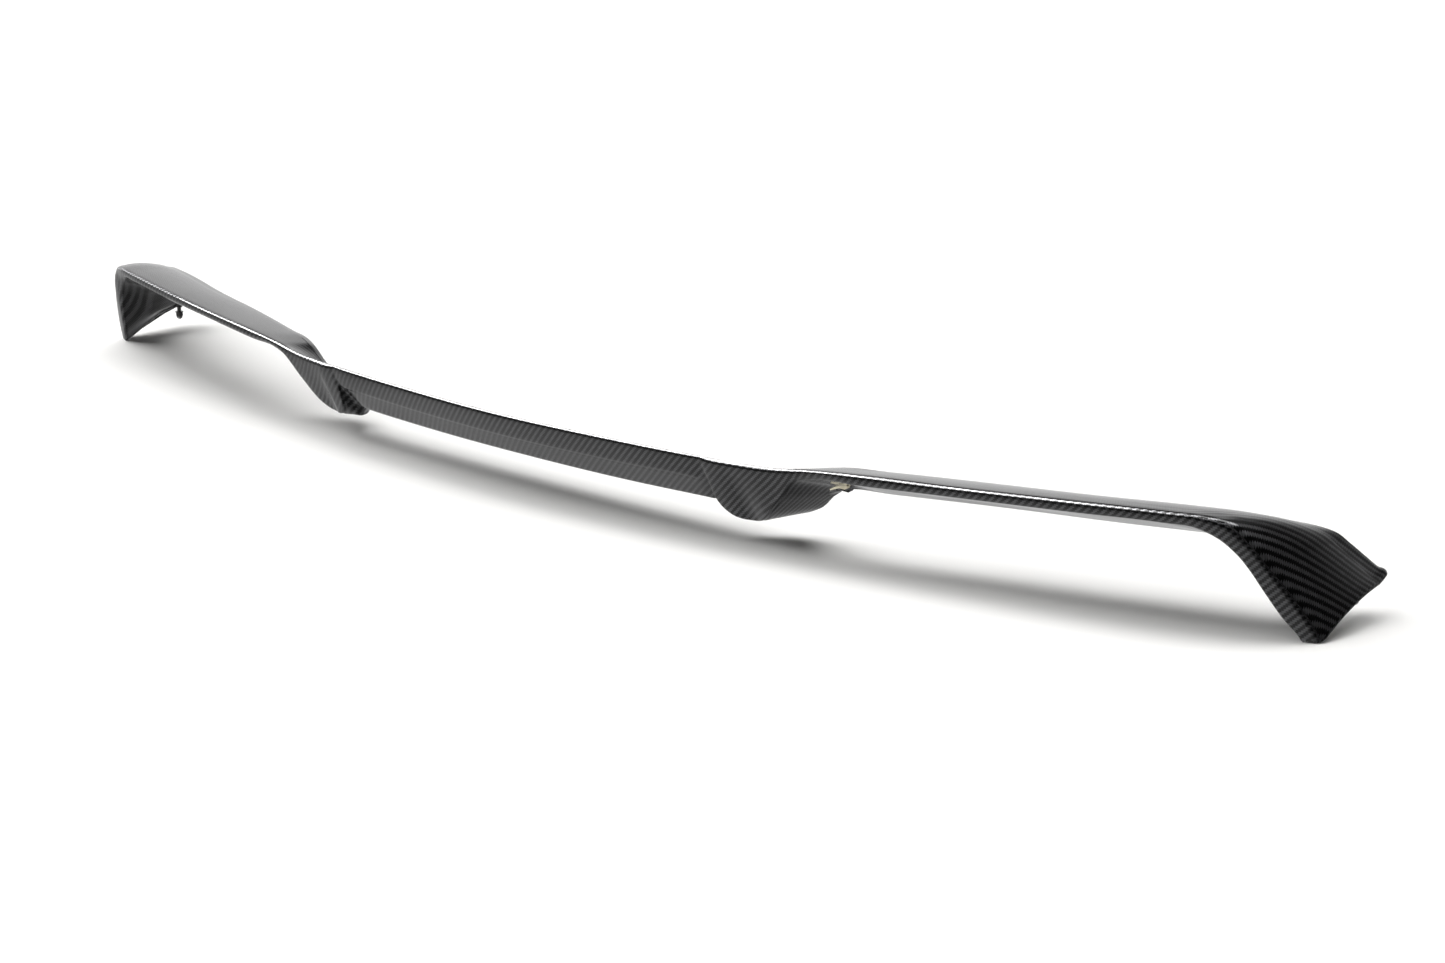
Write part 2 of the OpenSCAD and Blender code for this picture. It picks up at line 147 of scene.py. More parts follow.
FITTED = {name: fitted(rail) for name, rail in RAILS.items()}


def on_rail(name, s):
    knots, places, slopes = FITTED[name]
    i = np.clip(np.searchsorted(knots, s, side="right") - 1, 0, len(knots) - 2)
    h = (knots[i + 1] - knots[i])[:, None]
    t = (s[:, None] - knots[i][:, None]) / h
    return (places[i] * (2 * t**3 - 3 * t**2 + 1) + slopes[i] * h * (t**3 - 2 * t**2 + t)
            + places[i + 1] * (3 * t**2 - 2 * t**3) + slopes[i + 1] * h * (t**3 - t**2))


def up_at(s):
    return unit(np.cross(on_rail("rear_top", s + 1) - on_rail("rear_top", s - 1),
                         on_rail("front_top", s) - on_rail("rear_top", s)))


def corners(s):
    """The six corners of the section at each station, from the rear top round to the crease."""
    c = [on_rail(n, s) for n in ("rear_top", "rear_low", "belly", "front_low", "front_top")]
    c.append(c[4] + (c[0] - c[4]) * CREASE_BACK + up_at(np.maximum(s, 1)) * CREASE_LIFT)
    return np.stack(c, axis=1)


def loops(s, depth):
    """One closed loop of points per station, moved in from the outside by a depth."""
    c = corners(s)
    along = corners(s + 1) - corners(s - 1)
    along[s == 0] = [1, 0, 0]
    n = unit(np.cross(np.roll(c, -1, 1) - c, along + np.roll(along, -1, 1)))
    m = np.roll(n, 1, 1)
    cosine = np.clip((m * n).sum(-1), -1, 1)
    turn = np.minimum(np.arccos(cosine), math.radians(150))
    outward = np.sign((np.cross(m, n) * along).sum(-1))
    size = CORNER_SIZE - outward * depth * np.tan(turn / 2)
    c = c - (m + n) * depth / np.maximum(1 + cosine, 0.12)[..., None]

    up, back = up_at(np.maximum(s, 1)), unit(on_rail("rear_top", s - 1) - on_rail("rear_top", s))
    back[s == 0] = [-1, 0, 0]
    crown = CROWN * np.clip((s - 380) / 380, 0, 1)
    arch = BASE_ARCH * np.maximum(0, (s - ARCH_FROM) / (FOOT_END - ARCH_FROM)) ** 2
    lift = up * crown[:, None] + back * arch[:, None]
    top = []
    for share in np.linspace(0, 1, TOP_STEPS + 2)[1:-1]:
        t = share * 0.8
        top.append(c[:, 5] + (c[:, 0] - c[:, 5]) * t + lift * (4 * t * (1 - t)))

    before = [top[-1]] + [c[:, k - 1] for k in range(1, 6)]
    after = [c[:, k + 1] for k in range(5)] + [top[TOP_STEPS // 5]]
    rounds = []
    for k in range(6):
        reach = np.minimum(np.linalg.norm(c[:, (k + 1) % 6] - c[:, k], axis=1),
                           np.linalg.norm(c[:, k] - c[:, k - 1], axis=1)) * 0.42
        r = np.maximum(SHARP, np.minimum(size[:, k], reach))[:, None]
        a, b = c[:, k] + unit(before[k] - c[:, k]) * r, c[:, k] + unit(after[k] - c[:, k]) * r
        if k == 0 and depth == 0:
            a = c[:, k] + unit(before[k] - c[:, k]) * EDGE_RUN_ON
        rounds.append([a * (1 - t) ** 2 + c[:, k] * 2 * t * (1 - t) + b * t * t
                       for t in np.linspace(0, 1, ROUND_STEPS)])
    points = list(top)
    for k in range(6):
        points += rounds[k]
        if k < 5:
            a, b = rounds[k][-1], rounds[k + 1][0]
            points += [a + (b - a) * t for t in np.linspace(0, 1, SIDE_STEPS + 1)[1:-1]]
    if depth == 0:
        height = np.linalg.norm(c[:, 1] - c[:, 0], axis=1)[:, None] * REAR_BULGE
        first, last = TOP_STEPS + ROUND_STEPS // 2, TOP_STEPS + CORNER_STEP + ROUND_STEPS // 2
        for i in range(first, last + 1):
            t = (i - first) / (last - first)
            points[i] = points[i] + n[:, 0] * height * 4 * t * (1 - t)
    return np.stack(points, axis=1)


def both_halves(half, flip):
    """The left half is the right one mirrored, with the signs in flip."""
    return np.concatenate([half[:0:-1] * flip, half])


REAR_EDGE = TOP_STEPS + ROUND_STEPS // 2
REAR_JOINT = TOP_STEPS + CORNER_STEP + ROUND_STEPS - 1
FRONT_JOINT = TOP_STEPS + 3 * CORNER_STEP
MIRROR = np.array([-1.0, 1.0, 1.0])

half_outer = loops(STATIONS, 0.0) * MM
OUTER = both_halves(half_outer, MIRROR)
INNER = both_halves(loops(STATIONS, SKIN) * MM, MIRROR)
ROWS, COLS = OUTER.shape[:2]
HALF = ROWS // 2


def row_of(station):
    return HALF + int(np.argmin(abs(STATIONS - station)))


def grid_normals(grid):
    """Normals of a grid of closed loops, weighted by the size of the faces around each point."""
    right, down = np.roll(grid, -1, 1) - grid, np.diff(grid, axis=0)
    face = np.cross((down + np.roll(down, -1, 1)) / 2, (right[1:] + right[:-1]) / 2)
    total = np.zeros_like(grid)
    for shifted in (face, np.roll(face, 1, 1)):
        total[:-1] += shifted
        total[1:] += shifted
    return unit(total)


def facing_out(grid, normals):
    middle = grid.mean(1, keepdims=True)
    return normals if ((grid - middle) * normals).sum() > 0 else -normals


NORMALS = facing_out(OUTER, grid_normals(OUTER))
INNER_NORMALS = -facing_out(INNER, grid_normals(INNER))


# ---------------------------------------------------------------- how the cloth lies
def cloth(grid):
    """Where each point lies on the cloth, (along, across), which is laid from the trailing edge: over
    the top for the upper skin and round the rear edge for the lower ones. Then the warp's direction."""
    edge = grid[:, REAR_EDGE]
    run = unit(np.gradient(edge, axis=0))
    length = np.concatenate([[0], np.cumsum(np.linalg.norm(np.diff(edge, axis=0), axis=1))])
    u = length[:, None] + ((grid - edge[:, None]) * run[:, None]).sum(-1)

    def across(order):
        step = np.diff(grid[:, order], axis=1)
        step = step - (step * run[:, None]).sum(-1, keepdims=True) * run[:, None]
        v = np.zeros(grid.shape[:2])
        v[:, order[1:]] = np.cumsum(np.linalg.norm(step, axis=2), axis=1)
        return v

    over = list(range(REAR_EDGE, -1, -1)) + list(range(COLS - 1, FRONT_JOINT - 1, -1))
    under = list(range(REAR_EDGE, FRONT_JOINT + 1))
    upper, lower = np.stack([u, across(over)], -1), np.stack([u, -across(under)], -1)
    warp = np.repeat(run[:, None], grid.shape[1], axis=1)

    # On the feet the cloth runs on without turning: down the outside, and level across the rear.
    bend = int(np.argmin(abs(STATIONS - BEND_FROM)))
    step = np.diff(grid[bend:], axis=0)
    down = np.stack([np.hypot(step[..., 0], step[..., 2]), step[..., 1]], -1)
    level = np.stack([step[..., 0], step[..., 2]], -1)
    upper[bend + 1:] = upper[bend] + np.cumsum(down, axis=0)
    lower[bend + 1:] = lower[bend] + np.cumsum(level, axis=0)
    warp[bend:, over[1:]] = unit(np.gradient(grid, axis=0) * [1, 0, 1])[bend:, over[1:]]
    warp[bend:, under] = [1, 0, 0]
    upper[:, REAR_EDGE + 1:REAR_JOINT + 1] = lower[:, REAR_EDGE + 1:REAR_JOINT + 1]
    return upper, lower, warp


upper_half, lower_half, warp_half = cloth(half_outer)
UPPER_CLOTH = both_halves(upper_half, np.array([-1.0, 1.0]))
LOWER_CLOTH = both_halves(lower_half, np.array([-1.0, 1.0]))
WARP = both_halves(warp_half, np.array([1.0, -1.0, -1.0]))
WARP = unit(WARP - (WARP * NORMALS).sum(-1, keepdims=True) * NORMALS)


# ---------------------------------------------------------------- materials
class Nodes:
    """A short way to write a material's node tree."""

    def __init__(self, name):
        self.material = bpy.data.materials.new(name)
        self.material.use_nodes = True
        self.tree = self.material.node_tree
        self.shader = self.tree.nodes["Principled BSDF"]

    def put(self, socket, value):
        if isinstance(value, bpy.types.NodeSocket):
            self.tree.links.new(value, socket)
        else:
            socket.default_value = value

    def node(self, kind, *inputs, out=0, **settings):
        made = self.tree.nodes.new(kind)
        for key, value in settings.items():
            setattr(made, key, value)
        for i, value in enumerate(inputs):
            if value is not None:
                self.put(made.inputs[i], value)
        return made.outputs[out]

    def math(self, operation, a, b=None, c=None):
        return self.node("ShaderNodeMath", a, b, c, operation=operation)

    def vector(self, x, y, z=0.0):
        return self.node("ShaderNodeCombineXYZ", x, y, z)

    def noise(self, at, scale, detail=2.0, roughness=0.5):
        made = self.tree.nodes.new("ShaderNodeTexNoise")
        self.put(made.inputs["Vector"], at)
        made.inputs["Scale"].default_value = scale
        made.inputs["Detail"].default_value = detail
        made.inputs["Roughness"].default_value = roughness
        return made.outputs["Fac"]

    def between(self, share, low, high):
        """A value or a colour mixed by a share from 0 to 1."""
        made = self.tree.nodes.new("ShaderNodeMix")
        made.data_type = "RGBA" if isinstance(low, tuple) else "FLOAT"
        sockets = (0, 6, 7, 2) if isinstance(low, tuple) else (0, 2, 3, 0)
        self.put(made.inputs[sockets[0]], share)
        self.put(made.inputs[sockets[1]], low)
        self.put(made.inputs[sockets[2]], high)
        return made.outputs[sockets[3]]

    def between_vectors(self, share, low, high):
        made = self.tree.nodes.new("ShaderNodeMix")
        made.data_type = "VECTOR"
        self.put(made.inputs[0], share)
        self.put(made.inputs[4], low)
        self.put(made.inputs[5], high)
        return made.outputs[1]

    def set(self, **values):
        for key, value in values.items():
            self.put(self.shader.inputs[key.replace("_", " ")], value)

    def bump(self, height, distance, strength=1.0):
        made = self.tree.nodes.new("ShaderNodeBump")
        made.inputs["Strength"].default_value = strength
        made.inputs["Distance"].default_value = distance
        self.put(made.inputs["Height"], height)
        self.put(self.shader.inputs["Normal"], made.outputs["Normal"])


def carbon_material():
    n = Nodes("carbon_twill")
    place = n.node("ShaderNodeAttribute", attribute_name="weave", out=1)
    split = n.tree.nodes.new("ShaderNodeSeparateXYZ")
    n.put(split.inputs[0], place)
    sway = n.math("MULTIPLY", n.math("SUBTRACT", n.noise(place, 26.0, 1.0), 0.5), 0.35)
    x = n.math("ADD", n.math("MULTIPLY", split.outputs[0], 1 / (TOW * MM)), sway)
    y = n.math("ADD", n.math("MULTIPLY", split.outputs[1], 1 / (TOW * MM)), sway)
    i, j = n.math("FLOOR", x), n.math("FLOOR", y)
    fx, fy = n.math("FRACT", x), n.math("FRACT", y)
    phase = n.math("FLOORED_MODULO", n.math("SUBTRACT", i, j), 4.0)
    weft = n.math("GREATER_THAN", phase, 1.5)

    # How far along its float and across its width a point lies on the tow that shows there.
    on_warp = n.math("MULTIPLY", n.math("ADD", phase, fx), 0.5)
    on_weft = n.math("MULTIPLY", n.math("ADD", n.math("SUBTRACT", 3.0, phase), fy), 0.5)
    float_at = n.between(weft, on_warp, on_weft)
    width_at = n.between(weft, fy, fx)
    arc = n.math("SINE", n.math("MULTIPLY", float_at, math.pi))
    side = n.math("SINE", n.math("MULTIPLY", width_at, math.pi))
    swell = n.math("MULTIPLY", n.math("MAXIMUM", arc, 0.0), n.math("MAXIMUM", side, 0.0))
    rise = n.math("POWER", swell, 0.45)

    along_warp = n.vector(n.math("MULTIPLY", x, 0.35), n.math("MULTIPLY", y, 9.0))
    along_weft = n.vector(n.math("MULTIPLY", x, 9.0), n.math("MULTIPLY", y, 0.35))
    fibres_warp = n.noise(along_warp, 1.0, 3.0, 0.6)
    fibres_weft = n.noise(along_weft, 1.0, 3.0, 0.6)
    fibres = n.between(weft, fibres_warp, fibres_weft)
    tow_number = n.between(weft, j, n.math("ADD", i, 0.5))
    tow_shade = n.node("ShaderNodeTexWhiteNoise", None, tow_number, noise_dimensions="1D")

    gap = n.between(n.math("MULTIPLY", rise, 1.35), 0.35, 1.0)
    shade = n.math("MULTIPLY", n.math("ADD", 0.72, n.math("MULTIPLY", tow_shade, 0.2)),
                   n.math("ADD", 0.75, n.math("MULTIPLY", fibres, 0.5)))
    shade = n.math("MULTIPLY", shade, n.math("MINIMUM", gap, 1.0))
    # Painted sheen: the two sets of one dark fibre get different base colours, the warp light and the
    # weft dark, standing in for how each set reflects the light.
    family_painted_sheen = n.between(weft, WARP_PAINTED_SHEEN, WEFT_PAINTED_SHADE)
    level = n.math("MULTIPLY", shade, family_painted_sheen)
    tint = n.node("ShaderNodeCombineColor", level, level, n.math("MULTIPLY", level, 1.04))

    warp = n.node("ShaderNodeAttribute", attribute_name="warp", out=1)
    surface = n.node("ShaderNodeNewGeometry", out=1)
    cross = n.node("ShaderNodeVectorMath", surface, warp, operation="CROSS_PRODUCT")
    n.set(Base_Color=tint, Metallic=0.9, Roughness=n.between(fibres, 0.3, 0.42), Anisotropic=0.75,
          Tangent=n.between_vectors(weft, warp, cross),
          Coat_Weight=1.0, Coat_Roughness=0.025, Coat_IOR=1.52)
    height = n.math("ADD", n.math("MULTIPLY", rise, 0.85), n.math("MULTIPLY", fibres, 0.15))
    n.bump(height, 0.00016, 0.6)
    return n.material


def steel_material():
    n = Nodes("stainless_steel")
    at = n.node("ShaderNodeTexCoord", out=3)
    scratches = n.noise(at, 9000.0, 3.0, 0.65)
    clouds = n.noise(at, 350.0, 2.0)
    n.set(Base_Color=n.between(clouds, (0.5, 0.5, 0.49, 1), (0.62, 0.62, 0.61, 1)), Metallic=1.0,
          Roughness=n.between(scratches, 0.22, 0.38))
    n.bump(scratches, 0.00001, 0.3)
    return n.material


def aluminium_material():
    n = Nodes("milled_aluminium")
    at = n.node("ShaderNodeTexCoord", out=3)
    stretched = n.node("ShaderNodeVectorMath", at, (300.0, 9000.0, 3000.0), operation="MULTIPLY")
    grain = n.noise(stretched, 1.0, 3.0)
    n.set(Base_Color=n.between(grain, (0.66, 0.67, 0.69, 1), (0.8, 0.81, 0.83, 1)), Metallic=1.0,
          Roughness=n.between(grain, 0.3, 0.5))
    n.bump(grain, 0.00002, 0.4)
    return n.material


def foam_material():
    n = Nodes("closed_cell_foam")
    at = n.node("ShaderNodeTexCoord", out=3)
    made = n.tree.nodes.new("ShaderNodeTexVoronoi")
    n.put(made.inputs["Vector"], at)
    made.inputs["Scale"].default_value = 1400.0
    cells = made.outputs["Distance"]
    n.set(Base_Color=n.between(cells, (0.82, 0.74, 0.54, 1), (0.9, 0.85, 0.68, 1)), Roughness=0.9)
    n.bump(cells, 0.0003, 0.6)
    return n.material


MATERIALS = {"carbon": carbon_material(), "steel": steel_material(),
             "aluminium": aluminium_material(), "foam": foam_material()}


# ---------------------------------------------------------------- making pieces
OUTSIDE, INSIDE, EDGE = 0, 1, 2


def make(name, points, faces, slot, body, nodes):
    """A mesh object in the scene that rides on a body and stands for CAD nodes."""
    mesh = bpy.data.meshes.new(name)
    mesh.from_pydata([tuple(p) for p in points], [], faces)
    mesh.materials.append(MATERIALS[slot])
    made = bpy.data.objects.new(name, mesh)
    bpy.context.scene.collection.objects.link(made)
    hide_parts(*nodes)
    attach(made, body)
    return made


def write(mesh, name, kind, domain, values):
    """Stores one value per point or face of a mesh under a name."""
    attribute = mesh.attributes.new(name, kind, domain)
    field = {"FLOAT_VECTOR": "vector", "INT": "value"}[kind]
    attribute.data.foreach_set(field, np.asarray(values).ravel())


def read_points(mesh):
    flat = np.zeros(len(mesh.vertices) * 3)
    mesh.vertices.foreach_get("co", flat)
    return flat.reshape(-1, 3)


def dress(made, points, kinds, weave, warp, normals):
    """Gives a piece its cloth and its own normals. Points that a cut has added take their nearest
    neighbour's, and edges where a skin ends stay flat."""
    mesh = made.data
    place = read_points(mesh)
    if len(place) == len(points) and np.allclose(place, points, atol=1e-6):
        near = np.arange(len(points))
    else:
        tree = KDTree(len(points))
        for k, p in enumerate(points):
            tree.insert(p, k)
        tree.balance()
        near = np.array([tree.find(p)[1] for p in place])
    write(mesh, "weave", "FLOAT_VECTOR", "POINT",
          np.concatenate([weave[near], np.zeros((len(near), 1))], 1))
    write(mesh, "warp", "FLOAT_VECTOR", "POINT", warp[near])
    mesh.polygons.foreach_set("use_smooth", [True] * len(mesh.polygons))
    corner = np.zeros(len(mesh.loops), int)
    mesh.loops.foreach_get("vertex_index", corner)
    wanted = normals[near][corner]
    for face, kind in zip(mesh.polygons, kinds):
        if kind == EDGE:
            wanted[face.loop_start:face.loop_start + face.loop_total] = face.normal
    mesh.normals_split_custom_set(wanted.tolist())


def shell(name, rows, columns, lay, nodes, hole=None):
    """A skin between the outer and the inner grid, closed at its edges. hole is (place, radius)."""
    r, c = len(rows), len(columns)
    pick = np.ix_(rows, columns)
    points = np.concatenate([OUTER[pick].reshape(-1, 3), INNER[pick].reshape(-1, 3)])
    normals = np.concatenate([NORMALS[pick].reshape(-1, 3), INNER_NORMALS[pick].reshape(-1, 3)])
    weave = np.concatenate([lay[pick].reshape(-1, 2)] * 2)
    warp = np.concatenate([WARP[pick].reshape(-1, 3)] * 2)
    back = r * c
    faces, kinds = [], []

    def add(face, kind):
        faces.append(face)
        kinds.append(kind)

    for i in range(r - 1):
        for j in range(c - 1):
            a = i * c + j
            add((a + 1, a + c + 1, a + c, a), OUTSIDE)
            b = a + back
            add((b, b + c, b + c + 1, b + 1), INSIDE)
        a, b = i * c, i * c + c - 1
        add((a, a + c, a + c + back, a + back), EDGE)
        add((b + back, b + c + back, b + c, b), EDGE)
    for j in range(c - 1):
        a, b = j, (r - 1) * c + j
        add((a + back, a + back + 1, a + 1, a), EDGE)
        add((b, b + 1, b + 1 + back, b + back), EDGE)
    made = make(name, points, faces, "carbon", "wing", nodes)
    if hole:
        kinds = drill(made, kinds, *hole)
    dress(made, points, kinds, weave, warp, normals)
    return made


def drill(made, kinds, at, radius):
    """Cuts a round hole straight up through a piece, and returns the kind of each face it then has."""
    write(made.data, "kind", "INT", "FACE", kinds)
    turns = np.linspace(0, 2 * math.pi, 65)[:-1]
    ring = [(at[0] + radius * math.cos(t), at[1] + radius * math.sin(t)) for t in turns]
    low, high = at[2] - 3 * MM, at[2] + 5 * MM
    points = [(x, y, low) for x, y in ring] + [(x, y, high) for x, y in ring]
    count = len(ring)
    faces = [(k, (k + 1) % count, (k + 1) % count + count, k + count) for k in range(count)]
    faces += [tuple(range(count))[::-1], tuple(range(count, 2 * count))]
    tool_mesh = bpy.data.meshes.new("drill")
    tool_mesh.from_pydata(points, [], faces)
    write(tool_mesh, "kind", "INT", "FACE", [EDGE] * len(faces))
    tool = bpy.data.objects.new("drill", tool_mesh)
    bpy.context.scene.collection.objects.link(tool)
    cut = made.modifiers.new("hole", "BOOLEAN")
    cut.object, cut.operation, cut.solver = tool, "DIFFERENCE", "EXACT"
    bpy.context.view_layer.update()
    result = bpy.data.meshes.new_from_object(made.evaluated_get(bpy.context.evaluated_depsgraph_get()))
    made.modifiers.clear()
    made.data = result
    bpy.data.objects.remove(tool)
    found = np.zeros(len(result.polygons), int)
    result.attributes["kind"].data.foreach_get("value", found)
    return found


def plug(name, rows, nodes):
    """The foam that fills the inner grid between two stations."""
    middle = INNER.mean(1, keepdims=True)
    station = np.concatenate([STATIONS[:0:-1], STATIONS])
    pinched = (station >= PINCH_FROM) & (station <= PINCH_TO)
    keep = np.where(pinched, PINCH_KEEP, 1.0)[:, None, None]
    points = (middle + (INNER - middle) * keep)[rows].reshape(-1, 3)
    first, last = len(points), len(points) + 1
    points = np.concatenate([points, middle[rows[0]], middle[rows[-1]]])
    faces = []
    for j in range(COLS):
        k = (j + 1) % COLS
        for i in range(len(rows) - 1):
            faces.append((i * COLS + k, (i + 1) * COLS + k, (i + 1) * COLS + j, i * COLS + j))
        end = (len(rows) - 1) * COLS
        faces += [(k, j, first), (end + j, end + k, last)]
    return make(name, points, faces, "foam", "wing", nodes)


def sole(name, side, nodes):
    """A foot's base: a solid cap whose rim is drawn down and in from the open end of the skins."""
    last = ROWS - 1 if side > 0 else 0
    flip = np.array([float(side), 1, 1])
    end = OUTER[last] * flip
    low, high = end[:, 1].argmin(), end[:, 1].argmax()
    a, b = end[low], end[high]
    t = np.clip((end - a) @ (b - a) / ((b - a) @ (b - a)), 0.08, 0.92)
    spine = np.array([end[abs(((end - a) @ (b - a) / ((b - a) @ (b - a))) - k) < 0.1].mean(0)
                      for k in np.linspace(0.08, 0.92, 12)])
    middle = np.stack([np.interp(t, np.linspace(0.08, 0.92, 12), spine[:, k]) for k in range(3)], 1)
    inward = unit(middle - end)
    room = np.linalg.norm(middle - end, axis=1, keepdims=True)
    rings = [INNER[last] * flip]
    for angle in np.linspace(0, math.pi / 2, 9):
        shift = np.minimum(SOLE_INWARD * MM * (1 - math.cos(angle)), room * 0.5)
        rings.append(end + SOLE_DOWN * SOLE_DEPTH * MM * math.sin(angle) + inward * shift)
    base = rings[-1]
    for share in (0.3, 0.6, 0.85):
        rings.append(base + (middle + SOLE_DOWN * SOLE_DEPTH * MM - base) * share)
    points = np.concatenate(rings + [rings[0].mean(0, keepdims=True), rings[-1].mean(0, keepdims=True)])
    top = len(rings) * COLS
    faces = []
    for i in range(len(rings) - 1):
        for j in range(COLS):
            k = (j + 1) % COLS
            faces.append((i * COLS + k, (i + 1) * COLS + k, (i + 1) * COLS + j, i * COLS + j))
    for j in range(COLS):
        k = (j + 1) % COLS
        faces.append((j, top, k))
        faces.append(((len(rings) - 1) * COLS + k, top + 1, (len(rings) - 1) * COLS + j))
    kinds = [EDGE] * COLS + [OUTSIDE] * ((len(rings) - 2) * COLS) + [EDGE, OUTSIDE] * COLS
    if side < 0:
        points = points * MIRROR
        faces = [f[::-1] for f in faces]
    made = make(name, points, faces, "carbon", "wing", nodes)
    made.data.update()
    normals = np.zeros((len(points), 3))
    for face, kind in zip(made.data.polygons, kinds):
        if kind == OUTSIDE:
            for v in face.vertices:
                normals[v] += np.array(face.normal) * face.area
    normals[COLS:2 * COLS] = NORMALS[last]
    lost = np.linalg.norm(normals, axis=1) < 1e-12
    normals[lost] = [0, 0, 1]
    weave = points[:, [1, 0]] - points[:, [2, 2]] * [0.4, 0.0]
    warp = np.tile([0.0, 1.0, 0.0], (len(points), 1))
    dress(made, points, kinds, weave, warp, unit(normals))
    return made


# ---------------------------------------------------------------- fasteners
def turned(name, at, profile, slot, body, nodes, steps=64, smooth_angle=35):
    """A closed piece turned about a vertical axis. Each step of the profile is (height, radius), and
    a radius may be a function of the angle and the height. Radius 0 at both ends closes it."""
    turns = np.linspace(0, 2 * math.pi, steps, endpoint=False)
    rings = []
    for z, r in profile:
        radius = np.array([r(t, z) if callable(r) else r for t in turns])
        rings.append(np.stack([radius * np.cos(turns), radius * np.sin(turns), np.full(steps, z)], 1))
    closed = not (np.allclose(rings[0][:, :2], 0) and np.allclose(rings[-1][:, :2], 0))
    points, index = [], []
    for ring in rings:
        if np.allclose(ring[:, :2], 0):
            index.append([len(points)] * steps)
            points.append(ring[0])
        else:
            index.append(list(range(len(points), len(points) + steps)))
            points += list(ring)
    faces = []
    pairs = list(zip(index[:-1], index[1:])) + ([(index[-1], index[0])] if closed else [])
    for low, high in pairs:
        for j in range(steps):
            k = (j + 1) % steps
            face = [low[j], low[k], high[k], high[j]]
            face = [v for n, v in enumerate(face) if v not in face[:n]]
            if len(face) > 2:
                faces.append(tuple(face))
    points = (np.array(points) + at) * MM
    made = make(name, points, faces, slot, body, nodes)
    volume = sum(np.dot(points[f[0]], np.cross(points[f[k]], points[f[k + 1]]))
                 for f in faces for k in range(1, len(f) - 1))
    if volume < 0:
        made.data.flip_normals()
    made.data.polygons.foreach_set("use_smooth", [True] * len(faces))
    made.data.set_sharp_from_angle(angle=math.radians(smooth_angle))
    return made


def thread(crest, depth, pitch, inside=False):
    """The radius of a screw thread at an angle and a height: crests at one radius, roots deeper."""
    def radius(angle, z):
        wave = abs(((z / pitch - angle / (2 * math.pi)) % 1.0) * 2 - 1)
        cut = depth * np.clip(wave * 1.35 - 0.15, 0, 1)
        return crest + cut if inside else crest - cut
    return radius


def hexagon(flats, cap):
    """The radius of a hexagon across its flats, kept inside a circle whose radius depends on height."""
    def radius(angle, z):
        turn = (angle + math.pi / 6) % (math.pi / 3) - math.pi / 6
        return min(flats / 2 / math.cos(turn), cap(z))
    return radius


def fasteners(side, word):
    at = np.array([side * STUD_AT[0], STUD_AT[1], STUD_AT[2]])
    screw = thread(2.4, 0.45, THREAD_PITCH)
    profile = [(10.5, 0), (10.5, 3.7), (10.2, 4.0), (-1.0, 4.0), (-1.3, 3.7), (-1.3, 2.5),
               (-6.4, 2.5), (-6.5, 2.4)]
    profile += [(z, screw) for z in np.arange(-6.6, -10.45, -0.1)]
    profile += [(-10.6, 1.95), (-11.0, 1.75), (-11.0, 0)]
    turned("stud_" + word, at, profile, "steel", "wing", ["foot_stud_" + word])

    profile = [(-6.7, 2.65), (-6.7, 4.85), (-6.75, 4.96), (-6.85, 5.0), (-7.6, 5.0), (-7.7, 4.9),
               (-7.7, 2.65), (-7.6, 2.55), (-6.8, 2.55)]
    turned("flat_washer_" + word, at, profile, "steel", "washer_" + word, ["washer_" + word], 96)

    top = -7.8
    steep = 1.73          # height over radius, for a 30 degree chamfer

    def chamfered(z):
        """The circle that takes the hexagon's corners off at both ends."""
        return min(3.85 + (top - z) * steep, 3.85 + (z - top + 4.5) * steep, 4.5)

    edge = hexagon(8.0, chamfered)
    inside = thread(2.55, 0.2, THREAD_PITCH, inside=True)
    profile = [(top - 5.9, 0), (top - 5.9, 2.2), (top - 5.6, 2.55)]
    profile += [(top - h, inside) for h in np.arange(5.4, 0.45, -0.1)]
    profile += [(top - 0.3, 2.55), (top, 2.9), (top, 3.75)]
    profile += [(top - h, edge) for h in (0.0, 0.08, 0.16, 0.24, 0.32, 0.4, 0.6, 2.2,
                                          3.9, 4.1, 4.18, 4.26, 4.34, 4.42, 4.5)]
    profile += [(top - 4.5, 3.8), (top - 4.7, 3.8)]
    profile += [(top - 4.7 - 3.8 * math.sin(a), 3.8 * math.cos(a))
                for a in np.radians(np.arange(7.5, 90, 7.5))]
    profile += [(top - 8.5, 0)]
    turned("cap_nut_body_" + word, at, profile, "steel", "nut_" + word, ["cap_nut_" + word], 96)

    at = np.array([side * INSERT_AT[0], INSERT_AT[1], INSERT_AT[2]])
    screw = thread(2.5, 0.5, INSERT_PITCH, inside=True)
    profile = [(0.0, 3.2), (0.0, 4.85), (0.15, INSERT_R), (7.0, INSERT_R), (7.0, 8.0), (9.0, 8.0),
               (9.0, INSERT_R), (12.0, INSERT_R), (12.0, 2.6)]
    profile += [(z, screw) for z in np.arange(11.8, 0.75, -0.1)]
    turned("threaded_insert_" + word, at, profile, "steel", "wing", ["leg_insert_" + word], 72)


# ---------------------------------------------------------------- the wing
all_columns = list(range(FRONT_JOINT, COLS)) + list(range(0, REAR_JOINT + 1))
low_columns = list(range(REAR_JOINT, FRONT_JOINT + 1))
leg_in, leg_out, foot = row_of(LEG_FROM), row_of(LEG_TO), row_of(FOOT_END)


def rows(a, b, side=1):
    """The rows from a to b on the right half, or the same ones on the left, always left to right."""
    return list(range(a, b + 1)) if side > 0 else list(range(ROWS - 1 - b, ROWS - a))


